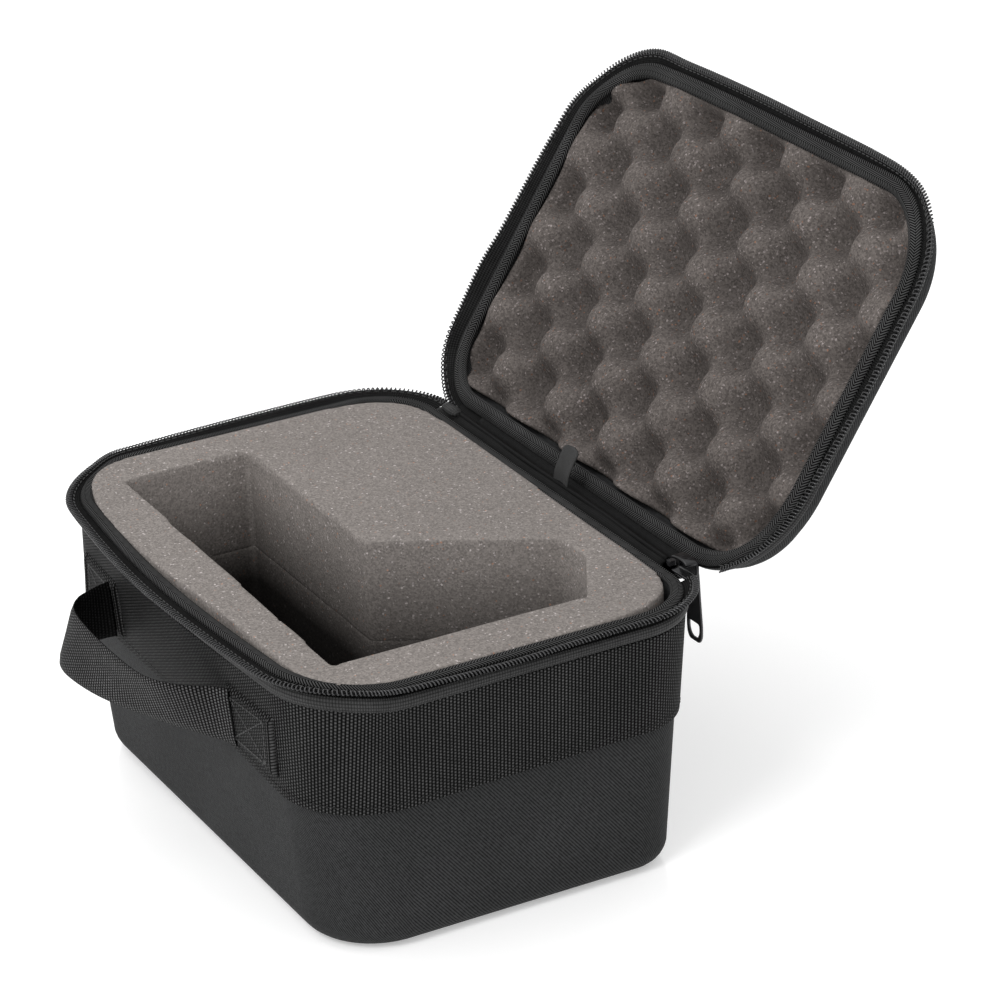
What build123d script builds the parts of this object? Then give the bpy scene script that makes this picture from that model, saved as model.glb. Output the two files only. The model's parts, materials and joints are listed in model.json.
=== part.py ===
from build123d import *
from math import cos, radians, sin, tan
import os

# Miniature carry case, open. Millimetres, +Z up.
# Origin: centre of the base's underside. The handle faces -Y and the hinge is at +Y.

os.makedirs("parts", exist_ok=True)

# ---- driving dimensions -------------------------------------------------
case_length = 252.0        # along X, outside the shell at the rim
case_depth = 166.0         # along Y, outside the shell at the rim
base_height = 112.0        # underside to rim
lid_height = 14.0          # rim to top of the lid
draft = 4.9                # lean of the moulded walls, degrees
corner_radius = 28.0       # upright corners at the rim, on the hinge side
front_corner_radius = 40.0 # and on the handle side
bottom_radius = 10.0       # round between walls and underside
lid_edge_radius = 9.0      # round between the lid's walls and its top
shell_wall = 4.0           # moulded foam board with cloth both sides
clearance = 0.3            # between pieces on different bodies
seam_gap = 0.05            # between faces laid together on one body

mouth_height = 114.5       # where the two zip rows meet when the case is shut
tape_thickness = 0.85
coil_height = 1.4
coil_inner = 5.2           # coil row, measured outwards from the shell
coil_outer = 7.4
tape_inner = -4.1
tape_outer = 6.0
rim_step = mouth_height - base_height   # each rim stands this far from the mouth

piping_thickness = 3.0
piping_height = 4.8
piping_below_rim = 1.6
band_thickness = 1.8
band_low = 64.5
band_high = 105.3

hinge_y = 89.5             # axis of the fabric hinge
hinge_z = 108.7
open_angle = 124.0         # the lid's place as modelled, from shut
hinge_left = -83.9         # the hinge fabric runs between these, along X
hinge_right = 86.6
hinge_thickness = 1.0
cover_length = 13.0        # fabric wrap where the zip's left end meets the hinge
cover_width = 5.6
stop_length = 2.4          # moulded stop beside the slider
stop_width = 3.2
end_piece_foot = base_height + 0.2   # both stand on the rim's tape
ribbon_width = 11.0
ribbon_thickness = 0.6
ribbon_middle = 2.0        # along X

floor_pad_height = 6.0
floor_pad_inset = 5.0      # the loose pad is cut smaller than the floor
foam_seam_height = 71.5    # between the two layers of the foam insert
foam_top = 114.2
lid_foam_length = 240.0
lid_foam_depth = 151.0
lid_foam_corner = 17.0
lid_foam_front_corner = 33.0

webbing_width = 24.5
webbing_thickness = 1.6
handle_height = 82.0       # middle of the handle's sewn ends
sewn_start = 53.0          # sewn ends run from here to sewn_end, along X
sewn_end = 88.0
fold_bead = 3.0            # the doubled webbing's fold, a little proud
fold_rise = 1.0
stitch_width = 0.9
stitch_rise = 0.5
stitch_inset = 3.4
strap_cut_y = -91.2        # where the bending roots stop and the free loop starts
strap_reach = 130.0        # further than any of the strap, for cutting it

slider_angle = 92.0        # place of the slider round the rear right corner
slider_half_angle = 9.5
slider_radius_in = corner_radius + 4.0
slider_radius_out = corner_radius + 9.4
slider_plate = 1.2
bridge_reach = 2.7
bridge_bar = 1.1
bridge_width = 2.2
bridge_half_height = 3.0
pull_length = 32.0
pull_width = 10.6
pull_thickness = 0.9

lid_rim = mouth_height + rim_step
corner_x = case_length / 2 - corner_radius
corner_y = case_depth / 2 - corner_radius
rear_y = case_depth / 2
teeth_cut_y = corner_y + 12   # the toothed rows stop here, behind which the hinge runs


# ---- outlines shared by many pieces --------------------------------------
def wall_lean(drop):
    """How far a drafted wall has leaned in, this far from its rim."""
    return drop * tan(radians(draft))


def rounded_outline(plane, length, depth, front_radius, rear_radius):
    """A rectangle with wider corners along the handle side than along the hinge side."""
    with BuildSketch(plane) as outline:
        Rectangle(length, depth)
        fillet(outline.vertices().group_by(Axis.Y)[0], front_radius)
        fillet(outline.vertices().group_by(Axis.Y)[-1], rear_radius)
    return outline.sketch


def case_outline(plane, grow):
    """The case's rounded outline on a plane, moved outwards by grow."""
    return rounded_outline(
        plane, case_length + 2 * grow, case_depth + 2 * grow,
        front_corner_radius + grow, corner_radius + grow,
    )


def base_block(low, high, grow, mode=Mode.ADD):
    """A drafted block of the base between two heights, moved outwards by grow."""
    foot = case_outline(Plane.XY.offset(low), grow - wall_lean(base_height - low))
    head = case_outline(Plane.XY.offset(high), grow - wall_lean(base_height - high))
    loft(sections=[foot.face(), head.face()], ruled=True, mode=mode)


def lid_plane(height):
    """The plane that is level at this height when the lid is shut, where it lies with the lid open."""
    swing = radians(open_angle)
    rise = height - hinge_z
    origin = (
        0,
        hinge_y - hinge_y * cos(swing) + rise * sin(swing),
        hinge_z + hinge_y * sin(swing) + rise * cos(swing),
    )
    return Plane(origin=origin, x_dir=(1, 0, 0), z_dir=(0, sin(swing), cos(swing)))


def lid_block(low, high, grow, mode=Mode.ADD):
    """A drafted block of the lid between two shut heights, moved outwards by grow."""
    foot = case_outline(lid_plane(low), grow - wall_lean(low - lid_rim))
    head = case_outline(lid_plane(high), grow - wall_lean(high - lid_rim))
    loft(sections=[foot.face(), head.face()], ruled=True, mode=mode)


def flat_ring(plane, thickness, inner, outer):
    """A level ring between two outlines."""
    extrude(case_outline(plane, outer), amount=thickness)
    extrude(case_outline(plane, inner), amount=thickness, mode=Mode.SUBTRACT)


def rear_cut(plane, x_low, x_high, y_low):
    """Takes away everything behind y_low between two places along the hinge side."""
    depth = 30.0
    with BuildSketch(plane.offset(-depth / 2)) as cut:
        with Locations(((x_low + x_high) / 2, y_low + depth / 2)):
            Rectangle(x_high - x_low, depth)
    extrude(cut.sketch, amount=depth, mode=Mode.SUBTRACT)


def save(piece, name):
    piece.part.label = name
    export_step(piece.part, "parts/" + name + ".step")


# ---- base: shell, band and zip -------------------------------------------
with BuildPart() as base_hollow:
    base_block(shell_wall, base_height, -shell_wall)
    fillet(base_hollow.faces().sort_by(Axis.Z)[0].edges(), bottom_radius - shell_wall)

with BuildPart() as base_shell:
    base_block(0, base_height, 0)
    fillet(base_shell.faces().sort_by(Axis.Z)[0].edges(), bottom_radius)
    add(base_hollow.part, mode=Mode.SUBTRACT)
save(base_shell, "base_shell")

with BuildPart() as webbing_band:
    base_block(band_low, band_high, band_thickness)
    base_block(band_low, band_high, seam_gap, mode=Mode.SUBTRACT)
save(webbing_band, "webbing_band")

with BuildPart() as base_rim_piping:
    piping_top = base_height - piping_below_rim
    base_block(piping_top - piping_height, piping_top, piping_thickness)
    base_block(piping_top - piping_height, piping_top, seam_gap, mode=Mode.SUBTRACT)
save(base_rim_piping, "base_rim_piping")

with BuildPart() as base_zip_tape:
    flat_ring(Plane.XY.offset(base_height + seam_gap), tape_thickness, tape_inner, tape_outer)
    rear_cut(Plane.XY.offset(base_height), -corner_x, corner_x + 6, rear_y + 0.2)
save(base_zip_tape, "base_zip_tape")

base_coil_foot = base_height + tape_thickness + 2 * seam_gap
with BuildPart() as base_zip_teeth:
    flat_ring(Plane.XY.offset(base_coil_foot), coil_height, coil_inner, coil_outer)
    rear_cut(Plane.XY.offset(base_height), -corner_x, corner_x + 7, teeth_cut_y)
save(base_zip_teeth, "base_zip_teeth")

# Rounded fabric wrap where the zip ends and the hinge starts, on the left.
with BuildPart() as zip_end_cover:
    with BuildSketch(Plane.XY.offset(end_piece_foot)):
        with Locations((hinge_left - 0.4 - cover_length / 2, rear_y + 4.6)):
            SlotOverall(cover_length, cover_width)
    extrude(amount=3.6)
    fillet(zip_end_cover.faces().sort_by(Axis.Z)[-1].edges(), 1.2)
save(zip_end_cover, "zip_end_cover")

# Moulded stop on the row's right end, just past the slider.
with BuildPart() as zip_end_stop:
    with BuildSketch(Plane.XY.offset(end_piece_foot)):
        with Locations((hinge_right + 0.4 + stop_length / 2, rear_y + 5.4)):
            RectangleRounded(stop_length, stop_width, 0.6)
    extrude(amount=2.0)
save(zip_end_stop, "zip_end_stop")


# ---- foam in the base ------------------------------------------------------
def pocket_outline(height):
    """The bent pocket: a straight arm along the front and a tapering arm along the right."""
    with BuildSketch(Plane.XY.offset(height)) as outline:
        with BuildLine():
            Polyline(
                (-100, -56.5), (98.3, -60.5), (98.3, 46), (66.5, 63),
                (47.5, 63), (7.6, -2.2), (-100, -2.2), close=True,
            )
        make_face()
    return outline.sketch


def foam_layer(low, high):
    """A layer of the insert, cut to the tub's walls, with the pocket right through it."""
    base_block(low, min(high, base_height), -shell_wall - clearance)
    if high > base_height:
        collar = case_outline(Plane.XY.offset(base_height), -shell_wall - clearance - 0.1)
        extrude(collar, amount=high - base_height)
    extrude(pocket_outline(low), amount=high - low, mode=Mode.SUBTRACT)


with BuildPart() as foam_floor_pad:
    base_block(shell_wall + 0.1, shell_wall + floor_pad_height, -shell_wall - floor_pad_inset)
save(foam_floor_pad, "foam_floor_pad")

with BuildPart() as foam_insert_lower:
    foam_layer(shell_wall + floor_pad_height + 0.1, foam_seam_height)
save(foam_insert_lower, "foam_insert_lower")

with BuildPart() as foam_insert_upper:
    foam_layer(foam_seam_height + 0.1, foam_top)
save(foam_insert_upper, "foam_insert_upper")


# ---- handle ---------------------------------------------------------------
def front_wall_plane(stand_off):
    """The front wall's outer plane at the handle's middle, moved outwards."""
    wall_y = case_depth / 2 - wall_lean(base_height - handle_height) + stand_off
    lean = radians(draft)
    return Plane(origin=(0, -wall_y, handle_height), x_dir=(1, 0, 0), z_dir=(0, -cos(lean), -sin(lean)))


sewn_middle = (sewn_start + sewn_end) / 2
sewn_length = sewn_end - sewn_start
for side, name in ((-1, "handle_end_left"), (1, "handle_end_right")):
    with BuildPart() as handle_end:
        with BuildSketch(front_wall_plane(band_thickness + 0.1)):
            with Locations((side * sewn_middle, 0)):
                RectangleRounded(sewn_length, webbing_width, 0.8)
        extrude(amount=2 * webbing_thickness)
        with BuildSketch(front_wall_plane(band_thickness + 0.1)):
            with Locations((side * (sewn_end - fold_bead / 2), 0)):
                RectangleRounded(fold_bead, webbing_width, 0.8)
        extrude(amount=2 * webbing_thickness + fold_rise)
    save(handle_end, name)

box_length = sewn_length - fold_bead - 2 * stitch_inset
box_height = webbing_width - 2 * stitch_inset
stitch_middle = sewn_middle - fold_bead / 2
for side, name in ((-1, "handle_stitch_left"), (1, "handle_stitch_right")):
    with BuildPart() as handle_stitch:
        with BuildSketch(front_wall_plane(band_thickness + 0.1 + 2 * webbing_thickness + seam_gap)):
            with Locations((side * stitch_middle, 0)):
                Rectangle(box_length + stitch_width, box_height + stitch_width)
                Rectangle(box_length - stitch_width, box_height - stitch_width, mode=Mode.SUBTRACT)
            with BuildLine():
                for slope in (-1, 1):
                    Line(
                        (side * stitch_middle - box_length / 2, -slope * box_height / 2),
                        (side * stitch_middle + box_length / 2, slope * box_height / 2),
                    )
            trace(line_width=stitch_width)
        extrude(amount=stitch_rise)
    save(handle_stitch, name)


def strap_edge(height, points):
    """The webbing's long edge seen from above: a ribbon along a smooth curve."""
    with BuildSketch(Plane.XY.offset(height)) as edge:
        with BuildLine():
            Spline(*points)
        trace(line_width=webbing_thickness)
    return edge.sketch.face()


def handle_ribbon():
    """The whole bowed strap: its lower edge stands further out on the left, its upper on the right."""
    lower = strap_edge(handle_height - webbing_width / 2, (
        (-51.5, -84.6), (-54.5, -96), (-52.5, -107), (-44, -112.5), (-30, -113.6),
        (-8, -110), (17, -101), (38, -91.5), (51.8, -86.2),
    ))
    upper = strap_edge(handle_height + webbing_width / 2, (
        (-51.5, -86.4), (-50.5, -94), (-48, -101), (-41, -105.8), (-28, -108.3),
        (0, -109.3), (28, -107.5), (43, -101), (51.8, -88.2),
    ))
    loft(sections=[lower, upper], ruled=True)


def keep_box(x_low, x_high, y_low, y_high):
    """Keeps only what lies between these sides."""
    with BuildSketch(Plane.XY.offset(handle_height - webbing_width)) as kept:
        with Locations(((x_low + x_high) / 2, (y_low + y_high) / 2)):
            Rectangle(x_high - x_low, y_high - y_low)
    extrude(kept.sketch, amount=2 * webbing_width, mode=Mode.INTERSECT)


with BuildPart() as handle_strap:
    handle_ribbon()
    keep_box(-sewn_end, sewn_end, -strap_reach, strap_cut_y)
save(handle_strap, "handle_strap")

with BuildPart() as handle_root_left:
    handle_ribbon()
    keep_box(-sewn_end, 0, strap_cut_y + 0.1, 0)
save(handle_root_left, "handle_root_left")

with BuildPart() as handle_root_right:
    handle_ribbon()
    keep_box(0, sewn_end, strap_cut_y + 0.1, 0)
save(handle_root_right, "handle_root_right")

# ---- hinge ----------------------------------------------------------------
with BuildPart() as hinge_strip:
    with BuildSketch(Plane.YZ.offset(hinge_left)):
        with BuildLine():
            Spline(
                (84.0, 111.3), (86.0, 113.4), (88.3, 113.9), (91.0, 111.8),
                (93.6, 109.4), (96.4, 109.0), (98.6, 110.2),
            )
        trace(line_width=hinge_thickness)
    extrude(amount=hinge_right - hinge_left)
save(hinge_strip, "hinge_strip")

with BuildPart() as ribbon_tab:
    with BuildSketch(Plane.YZ.offset(ribbon_middle - ribbon_width / 2)):
        with BuildLine():
            Spline((87.6, 114.9), (88.9, 119.0), (91.4, 124.0), (94.2, 128.6))
        trace(line_width=ribbon_thickness)
    extrude(amount=ribbon_width)
save(ribbon_tab, "ribbon_tab")

# ---- zip slider -------------------------------------------------------------
slider_low = base_height + seam_gap - clearance - slider_plate
slider_high = 2 * mouth_height - slider_low


def corner_section(angle):
    """The upright plane through the rear right corner's centre, at an angle from +X."""
    turn = radians(angle)
    return Plane(
        origin=(corner_x, corner_y, 0),
        x_dir=(cos(turn), sin(turn), 0),
        z_dir=(sin(turn), -cos(turn), 0),
    )


corner_axis = Axis((corner_x, corner_y, 0), (0, 0, 1))
with BuildPart() as slider_body:
    with BuildSketch(corner_section(slider_angle - slider_half_angle)):
        with Locations(((slider_radius_in + slider_radius_out) / 2, mouth_height)):
            Rectangle(slider_radius_out - slider_radius_in, slider_high - slider_low)
        with Locations(((slider_radius_in + slider_radius_out) / 2 - slider_plate, mouth_height)):
            Rectangle(
                slider_radius_out - slider_radius_in,
                slider_high - slider_low - 2 * slider_plate,
                mode=Mode.SUBTRACT,
            )
    revolve(axis=corner_axis, revolution_arc=2 * slider_half_angle)
save(slider_body, "slider_body")

bridge_middle = slider_radius_out + seam_gap + bridge_reach / 2
with BuildPart() as slider_bridge:
    with BuildSketch(corner_section(slider_angle).offset(-bridge_width / 2)):
        with Locations((bridge_middle, mouth_height)):
            RectangleRounded(bridge_reach, 2 * bridge_half_height, 0.6)
        with Locations((bridge_middle - bridge_bar, mouth_height)):
            Rectangle(bridge_reach, 2 * (bridge_half_height - bridge_bar), mode=Mode.SUBTRACT)
    extrude(amount=bridge_width)
save(slider_bridge, "slider_bridge")

pull_pivot_radius = slider_radius_out + 0.8
pull_pivot_height = mouth_height - bridge_half_height + bridge_bar + clearance + pull_thickness / 2
turn = radians(slider_angle)
pull_plane = Plane(
    origin=(
        corner_x + (pull_pivot_radius - pull_thickness / 2) * cos(turn),
        corner_y + (pull_pivot_radius - pull_thickness / 2) * sin(turn),
        pull_pivot_height,
    ),
    x_dir=(-sin(turn), cos(turn), 0),
    z_dir=(cos(turn), sin(turn), 0),
)
eye_half = 2.6             # half the width of the eye on the slider's bridge
eye_top = 0.5              # above the pivot
eye_foot = -5.0            # the leaf starts to widen here
pull_foot = eye_top - pull_length
ring_width = pull_width - 3.2
ring_height = 6.4
with BuildPart() as pull_tab:
    with BuildSketch(pull_plane):
        with BuildLine():
            Polyline(
                (-eye_half, eye_top), (eye_half, eye_top), (eye_half, eye_foot),
                (pull_width / 2, pull_foot + 7.5), (pull_width / 2 - 0.6, pull_foot + 4),
                (eye_half, pull_foot), (-eye_half, pull_foot),
                (0.6 - pull_width / 2, pull_foot + 4), (-pull_width / 2, pull_foot + 7.5),
                (-eye_half, eye_foot), close=True,
            )
        make_face()
        with Locations((0, -2.2)):
            Rectangle(3.2, 3.6, mode=Mode.SUBTRACT)
        with Locations((0, pull_foot + 1.9 + ring_height / 2)):
            RectangleRounded(ring_width, ring_height, 2.4, mode=Mode.SUBTRACT)
    extrude(amount=pull_thickness)
save(pull_tab, "pull_tab")

# ---- lid -------------------------------------------------------------------
lid_top = lid_rim + lid_height
lid_up = Axis((0, 0, 0), lid_plane(0).z_dir)
with BuildPart() as lid_hollow:
    lid_block(lid_rim, lid_top - shell_wall, -shell_wall)
    fillet(lid_hollow.faces().sort_by(lid_up)[-1].edges(), lid_edge_radius - shell_wall)

with BuildPart() as lid_shell:
    lid_block(lid_rim, lid_top, 0)
    fillet(lid_shell.faces().sort_by(lid_up)[-1].edges(), lid_edge_radius)
    add(lid_hollow.part, mode=Mode.SUBTRACT)
save(lid_shell, "lid_shell")

with BuildPart() as lid_rim_piping:
    piping_foot = lid_rim + piping_below_rim
    lid_block(piping_foot, piping_foot + piping_height / 2, piping_thickness / 2)
    lid_block(piping_foot, piping_foot + piping_height / 2, seam_gap, mode=Mode.SUBTRACT)
save(lid_rim_piping, "lid_rim_piping")

with BuildPart() as lid_zip_tape:
    flat_ring(lid_plane(lid_rim - seam_gap - tape_thickness), tape_thickness, tape_inner, tape_outer)
    rear_cut(lid_plane(lid_rim), -corner_x, corner_x + 7, rear_y - 1.5)
save(lid_zip_tape, "lid_zip_tape")

lid_coil_foot = mouth_height + (mouth_height - base_coil_foot - coil_height)
with BuildPart() as lid_zip_teeth:
    flat_ring(lid_plane(lid_coil_foot), coil_height, coil_inner, coil_outer)
    rear_cut(lid_plane(lid_rim), -corner_x, corner_x + 7.5, teeth_cut_y)
save(lid_zip_teeth, "lid_zip_teeth")

with BuildPart() as lid_foam:
    foam_face = rounded_outline(
        lid_plane(mouth_height + 0.5), lid_foam_length, lid_foam_depth,
        lid_foam_front_corner, lid_foam_corner,
    )
    extrude(foam_face, amount=lid_top - shell_wall - mouth_height - 0.6)
    fillet(lid_foam.faces().sort_by(lid_up)[-1].edges(), lid_edge_radius - shell_wall)
save(lid_foam, "lid_foam")
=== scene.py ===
import json
import math
import random

import bmesh
import bpy
import numpy as np
from mathutils import Matrix, Vector


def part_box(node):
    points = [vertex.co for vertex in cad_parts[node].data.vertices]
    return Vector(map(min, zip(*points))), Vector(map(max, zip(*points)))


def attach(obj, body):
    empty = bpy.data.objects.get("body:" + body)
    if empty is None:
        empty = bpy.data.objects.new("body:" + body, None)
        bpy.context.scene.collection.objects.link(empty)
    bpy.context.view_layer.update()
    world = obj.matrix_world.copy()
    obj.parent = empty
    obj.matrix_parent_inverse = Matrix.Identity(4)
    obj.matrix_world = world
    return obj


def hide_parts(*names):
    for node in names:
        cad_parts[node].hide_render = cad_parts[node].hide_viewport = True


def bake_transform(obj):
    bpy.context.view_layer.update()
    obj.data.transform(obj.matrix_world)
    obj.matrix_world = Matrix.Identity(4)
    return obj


# Looks for the open miniature carry case. Metres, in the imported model's frame.
# Lid pieces are made where they lie when the lid is shut, then swung open about the hinge.

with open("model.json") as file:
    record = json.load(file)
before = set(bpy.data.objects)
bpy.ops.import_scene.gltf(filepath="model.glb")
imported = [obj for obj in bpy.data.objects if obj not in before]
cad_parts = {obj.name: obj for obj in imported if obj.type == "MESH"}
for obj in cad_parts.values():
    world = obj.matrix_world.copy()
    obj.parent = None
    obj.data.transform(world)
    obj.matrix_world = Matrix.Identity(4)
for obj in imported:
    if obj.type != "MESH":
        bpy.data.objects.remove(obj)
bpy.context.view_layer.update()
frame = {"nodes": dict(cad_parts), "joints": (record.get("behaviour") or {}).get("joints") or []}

MM = 0.001
HALF_X, HALF_Y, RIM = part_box("base_shell")[1]
CORNER = 28 * MM
FRONT_CORNER = 40 * MM
DRAFT = math.tan(math.radians(4.9))
WALL = 4 * MM
MOUTH = RIM + 2.5 * MM
LID_RIM = MOUTH + 2.5 * MM
LID_TOP = LID_RIM + 14 * MM
BAND_LOW, BAND_HIGH = (corner.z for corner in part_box("webbing_band"))
FOAM_FLOOR, FOAM_SEAM = (corner.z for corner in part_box("foam_insert_lower"))
FOAM_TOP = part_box("foam_insert_upper")[1].z

joints = {joint["name"]: joint for joint in frame["joints"]}
HINGE = Vector(joints["lid_hinge"]["pos_m"])
OPEN = math.radians(joints["lid_hinge"]["range_deg"][1])
SWING = Matrix.Translation(HINGE) @ Matrix.Rotation(-OPEN, 4, "X") @ Matrix.Translation(-HINGE)


# ---- materials ----
class Surface:
    """A node material, with short calls for adding nodes."""

    def __init__(self, name, roughness, specular=0.5, metallic=0.0):
        self.material = bpy.data.materials.new(name)
        self.material.use_nodes = True
        self.tree = self.material.node_tree
        self.shader = self.tree.nodes["Principled BSDF"]
        for socket, value in (
            ("Roughness", roughness),
            ("Specular IOR Level", specular),
            ("Metallic", metallic),
        ):
            self.shader.inputs[socket].default_value = value

    def node(self, kind, inputs, **settings):
        made = self.tree.nodes.new(kind)
        for key, value in settings.items():
            setattr(made, key, value)
        for key, value in inputs.items():
            if isinstance(value, bpy.types.NodeSocket):
                self.tree.links.new(value, made.inputs[key])
            else:
                made.inputs[key].default_value = value
        return made

    def math(self, operation, first, second=0.0):
        return self.node("ShaderNodeMath", {0: first, 1: second}, operation=operation).outputs[0]

    def add(self, first, second):
        return self.math("ADD", first, second)

    def times(self, first, second):
        return self.math("MULTIPLY", first, second)

    def vector(self, operation, inputs, output=0):
        return self.node("ShaderNodeVectorMath", inputs, operation=operation).outputs[output]

    def uv(self):
        """Distances along and across the cloth, in metres."""
        cloth = self.node("ShaderNodeUVMap", {}, uv_map="cloth").outputs[0]
        return self.node("ShaderNodeSeparateXYZ", {0: cloth}).outputs[:2]

    def place(self):
        return self.node("ShaderNodeTexCoord", {}).outputs["Object"]

    def noise(self, scale, detail=3.0):
        inputs = {"Vector": self.place(), "Scale": scale, "Detail": detail}
        return self.node("ShaderNodeTexNoise", inputs).outputs[0]

    def mix(self, factor, first, second):
        inputs = {0: factor, 6: first, 7: second}
        return self.node("ShaderNodeMix", inputs, data_type="RGBA").outputs[2]

    def ramp(self, value, low, high, to_low=0.0, to_high=1.0):
        inputs = {0: value, 1: low, 2: high, 3: to_low, 4: to_high}
        return self.node("ShaderNodeMapRange", inputs).outputs[0]

    def finish(self, colour, height, depth, strength=1.0):
        self.tree.links.new(colour, self.shader.inputs["Base Color"])
        bump = self.node("ShaderNodeBump", {"Strength": strength, "Distance": depth, "Height": height})
        self.tree.links.new(bump.outputs[0], self.shader.inputs["Normal"])
        return self.material


def grey(level, warm=0.0):
    return (level * (1 + warm), level, level * (1 - warm), 1)


def wave(look, distance, pitch):
    """Rounded ribs of a given pitch: 0 in the grooves and 1 on the ribs."""
    turns = look.times(distance, math.pi / pitch)
    return look.math("ABSOLUTE", look.math("SINE", turns))


def worn(look, tone, shades, gains=(1.3, 1.3), scale=22.0, warm=0.0):
    """A weave's dark and light shades, both paler in slow patches, from handling and dust."""
    patches = look.ramp(look.noise(scale, 4.0), 0.42, 0.72)
    plain, pale = (
        look.mix(tone, grey(shades[0] * dark_gain), grey(shades[1] * light_gain, warm))
        for dark_gain, light_gain in ((1, 1), gains)
    )
    return look.mix(patches, plain, pale)


def twill_cloth(name, dark, light, pitch):
    """Fine diagonal weave laminated to the moulded shells."""
    look = Surface(name, roughness=0.65, specular=0.06)
    along, across = look.uv()
    slant = look.add(along, look.times(across, 0.8))
    cross = look.math("SUBTRACT", along, look.times(across, 1.4))
    line = look.ramp(wave(look, slant, pitch), 0.2, 0.95)
    grain = look.times(line, look.ramp(wave(look, cross, pitch * 0.8), 0, 1, 0.7, 1))
    height = look.add(grain, look.times(look.noise(900.0), 0.5))
    fuzz = look.ramp(look.noise(700.0, 2.0), 0.3, 0.7, 0.0, 1.0)
    tone = look.add(look.times(grain, 0.75), look.times(fuzz, 0.25))
    colour = worn(look, tone, (dark, light), (1.15, 1.2), warm=-0.02)
    return look.finish(colour, height, 0.14 * MM, 0.8)


# Added to the distance across on a strap's inner face, which gets painted shade.
INNER_FACE = 1.0


def ribbed_webbing(name, dark, light, rib, pick, depth):
    """Webbing: columns of short floats, each column half a float out from the next."""
    look = Surface(name, roughness=0.6, specular=0.03)
    along, across = look.uv()
    column = look.math("FLOOR", look.math("DIVIDE", along, rib))
    shift = look.times(look.math("MODULO", column, 2.0), pick / 2)
    ribs = look.ramp(wave(look, along, rib), 0.42, 0.95)
    floats = look.ramp(wave(look, look.add(across, shift), pick), 0.3, 0.9, 0.12, 1)
    height = look.times(ribs, floats)
    fuzz = look.ramp(look.noise(1300.0, 2.0), 0.3, 0.7, 0.6, 1.15)
    # Painted shade: the strap's inner face is darkened to a small share of its tone.
    outer = look.ramp(across, 0.4 * INNER_FACE, 0.6 * INNER_FACE, 1.0, 0.12)
    tone = look.times(look.times(height, fuzz), outer)
    return look.finish(worn(look, tone, (dark, light), scale=30.0), height, depth)


def herringbone_tape(name, dark, light, column, rib):
    """Tape woven in two or more columns of ribs that slant opposite ways."""
    look = Surface(name, roughness=0.6, specular=0.0)
    along, across = look.uv()
    zigzag = look.math("PINGPONG", across, column)
    slant = look.add(along, zigzag)
    height = look.ramp(wave(look, slant, rib), 0.42, 0.95)
    spine = look.ramp(wave(look, across, column), 0.0, 0.25, 0.4, 1)
    colour = worn(look, look.times(height, spine), (dark, light), scale=45.0)
    return look.finish(colour, height, 0.25 * MM)


def plain_cloth(name, dark, light, pitch, roughness=0.5, depth=0.06 * MM, specular=0.1):
    """Smooth close weave, for piping, hinge fabric, ribbon and thread."""
    look = Surface(name, roughness=roughness, specular=specular)
    along, across = look.uv()
    weave = look.times(wave(look, along, pitch), wave(look, across, pitch))
    height = look.add(weave, look.times(look.noise(700.0), 0.6))
    colour = worn(look, look.ramp(height, 0.2, 1.1), (dark, light), (1.3, 1.25), 60.0)
    return look.finish(colour, height, depth)


def open_foam(name, colour, contrast, specks, depth, pocket_shade=None, hollows=None):
    """Open-cell foam: pores, grains that differ in tone, and a share of pale and rusty specks.

    The pocket's painted shade is given as two heights, between which the cut faces go from dark up to pale.
    The top face is darkened too: painted shade that keeps it dimmer than the upper walls.
    The lid foam's painted shade is given as a direction and two distances along it, between which the foam
    gets darker: painted shade in the hollows, with a little painted light on the peaks.
    """
    look = Surface(name, roughness=0.95, specular=0.05)
    cells = look.node("ShaderNodeTexVoronoi", {"Vector": look.place(), "Scale": 1500.0})
    split = look.node("ShaderNodeSeparateColor", {0: cells.outputs["Color"]})
    tone = look.ramp(split.outputs[0], 0, 1, 1 - contrast, 1 + contrast)
    slow = look.ramp(look.noise(14.0, 3.0), 0.3, 0.7, 0.94, 1.06)
    level = look.times(tone, slow)
    # Painted shade: the pocket's cut faces darken towards the bottom, and the top face is dimmed below the
    # upper walls.
    if pocket_shade is not None:
        height = look.node("ShaderNodeSeparateXYZ", {0: look.place()}).outputs[2]
        level = look.times(level, look.ramp(height, pocket_shade[0], pocket_shade[1], 0.07, 1.28))
        top_shade = look.ramp(height, FOAM_TOP - 1.6 * MM, FOAM_TOP - 0.4 * MM, 1.0, 0.78)
        level = look.times(level, top_shade)
    # Painted shade in the lid foam's hollows, with slight painted light on its peaks.
    if hollows is not None:
        way, near, far = hollows
        along = look.vector("DOT_PRODUCT", {0: look.place(), 1: way}, 1)
        level = look.times(level, look.ramp(along, near, far, 1.08, 0.66))
    plain = look.vector("SCALE", {0: colour, "Scale": level})
    mixed = plain
    for channel, share, tint in ((1, specks, (2.2, 2.2, 2.3)), (2, specks * 0.25, (1.8, 1.1, 0.8))):
        chosen = look.math("GREATER_THAN", split.outputs[channel], 1 - share)
        speck = look.vector("MULTIPLY", {0: tint, 1: plain})
        mixed = look.mix(look.times(chosen, 0.8), mixed, speck)
    pores = look.add(cells.outputs["Distance"], look.noise(1100.0, 2.0))
    return look.finish(mixed, pores, depth)


def hard_gloss(name, colour, roughness, metallic, scratch):
    """Painted or moulded hard parts: gloss with fine scuffs and a slight orange peel."""
    look = Surface(name, roughness=roughness, specular=0.5, metallic=metallic)
    scuffs = look.ramp(look.noise(420.0, 6.0), 0.45, 0.75)
    shade = look.mix(scuffs, colour, tuple(c * 1.6 for c in colour[:3]) + (1,))
    rough = look.ramp(scuffs, 0, 1, roughness, roughness + scratch)
    look.tree.links.new(rough, look.shader.inputs["Roughness"])
    return look.finish(shade, look.noise(900.0, 2.0), 0.02 * MM, 0.5)


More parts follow.
